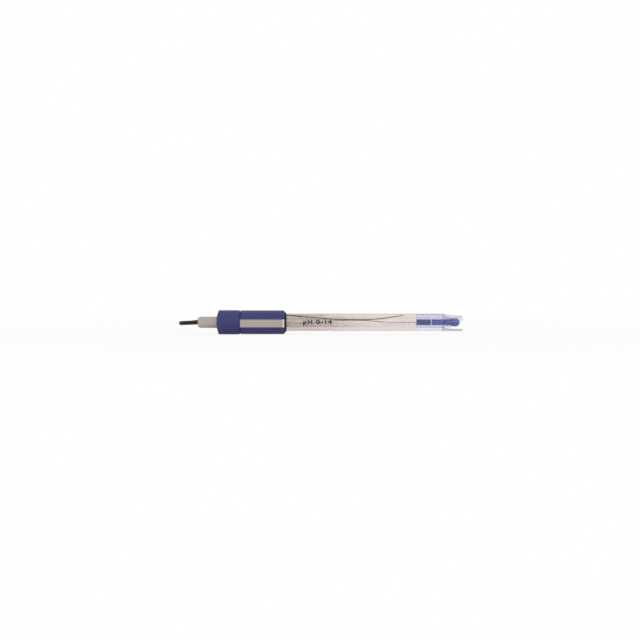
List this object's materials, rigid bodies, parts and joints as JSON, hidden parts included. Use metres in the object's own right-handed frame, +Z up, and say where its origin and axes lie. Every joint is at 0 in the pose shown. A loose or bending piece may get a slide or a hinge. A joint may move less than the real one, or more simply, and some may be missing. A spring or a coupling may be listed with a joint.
{
  "type": "ph electrode",
  "caption": "Combination pH electrode with a clear slotted shaft, glass bulb, blue and grey head, and a lead tied in a hank with a bayonet plug.",
  "frame": {"origin": "on the bench, under the middle of the electrode from its cable sleeve's end to its guard's tips", "axes": "+X along the electrode from the lead to the tip, +Z up from the bench, -Y the side with the inlay"},
  "size_m": [0.194, 0.0609, 0.0165],
  "materials": {
    "clear_plastic": "clear polished",
    "stem_glass": "clear blown",
    "plug_plastic": "translucent moulded",
    "buffer_blue": "tinted filling",
    "stopper_blue": "smooth moulded",
    "silver_wire": "dull, chloride coated",
    "lead_jacket": "extruded",
    "gel": "clear filling",
    "porous_ceramic": "unglazed",
    "stopper_rubber": "moulded",
    "blue_plastic": "satin moulded",
    "grey_plastic": "fine matt moulded",
    "black_rubber": "moulded",
    "cable_jacket": "extruded",
    "brass": "turned",
    "nickel": "nickel plated, satin",
    "gold": "gold plated",
    "white_insulator": "machined",
    "boot_rubber": "moulded",
    "potting_resin": "cast",
    "tie_strap": "moulded"
  },
  "bodies": {
    "electrode": {"shaft_tube": "clear_plastic", "glass_stem": "stem_glass", "inner_buffer": "buffer_blue", "buffer_stopper": "stopper_blue", "inner_wire": "silver_wire", "tip_plug": "plug_plastic", "junction_pin": "porous_ceramic", "reference_lead": "lead_jacket", "reference_wire": "silver_wire", "reference_gel": "gel", "top_stopper": "stopper_rubber", "head_body": "blue_plastic", "grey_inlay": "grey_plastic", "seal_ring": "black_rubber", "head_cap": "blue_plastic", "cap_oring": "black_rubber", "cable_sleeve": "grey_plastic", "cable_clamp": "brass", "cable_head_end": "cable_jacket", "lead_joint": "brass", "potting": "potting_resin", "cable": "cable_jacket", "cable_hank": "cable_jacket", "cable_tail": "cable_jacket", "hank_ties": "tie_strap", "plug_body": "nickel", "plug_gasket": "black_rubber", "collar_clip": "nickel", "spring_washer": "nickel", "plug_insulator": "white_insulator", "contact_pin": "gold", "plug_ferrule": "nickel", "cable_plug_end": "cable_jacket", "plug_boot": "boot_rubber"},
    "collar": {"plug_collar": "nickel"}
  },
  "joints": [
    {"name": "collar_turn", "type": "hinge", "parent": "electrode", "child": "collar", "pos_m": [-0.0711, 0.0454, 0.00725], "axis": [1, 0, 0], "continuous": true}
  ]
}
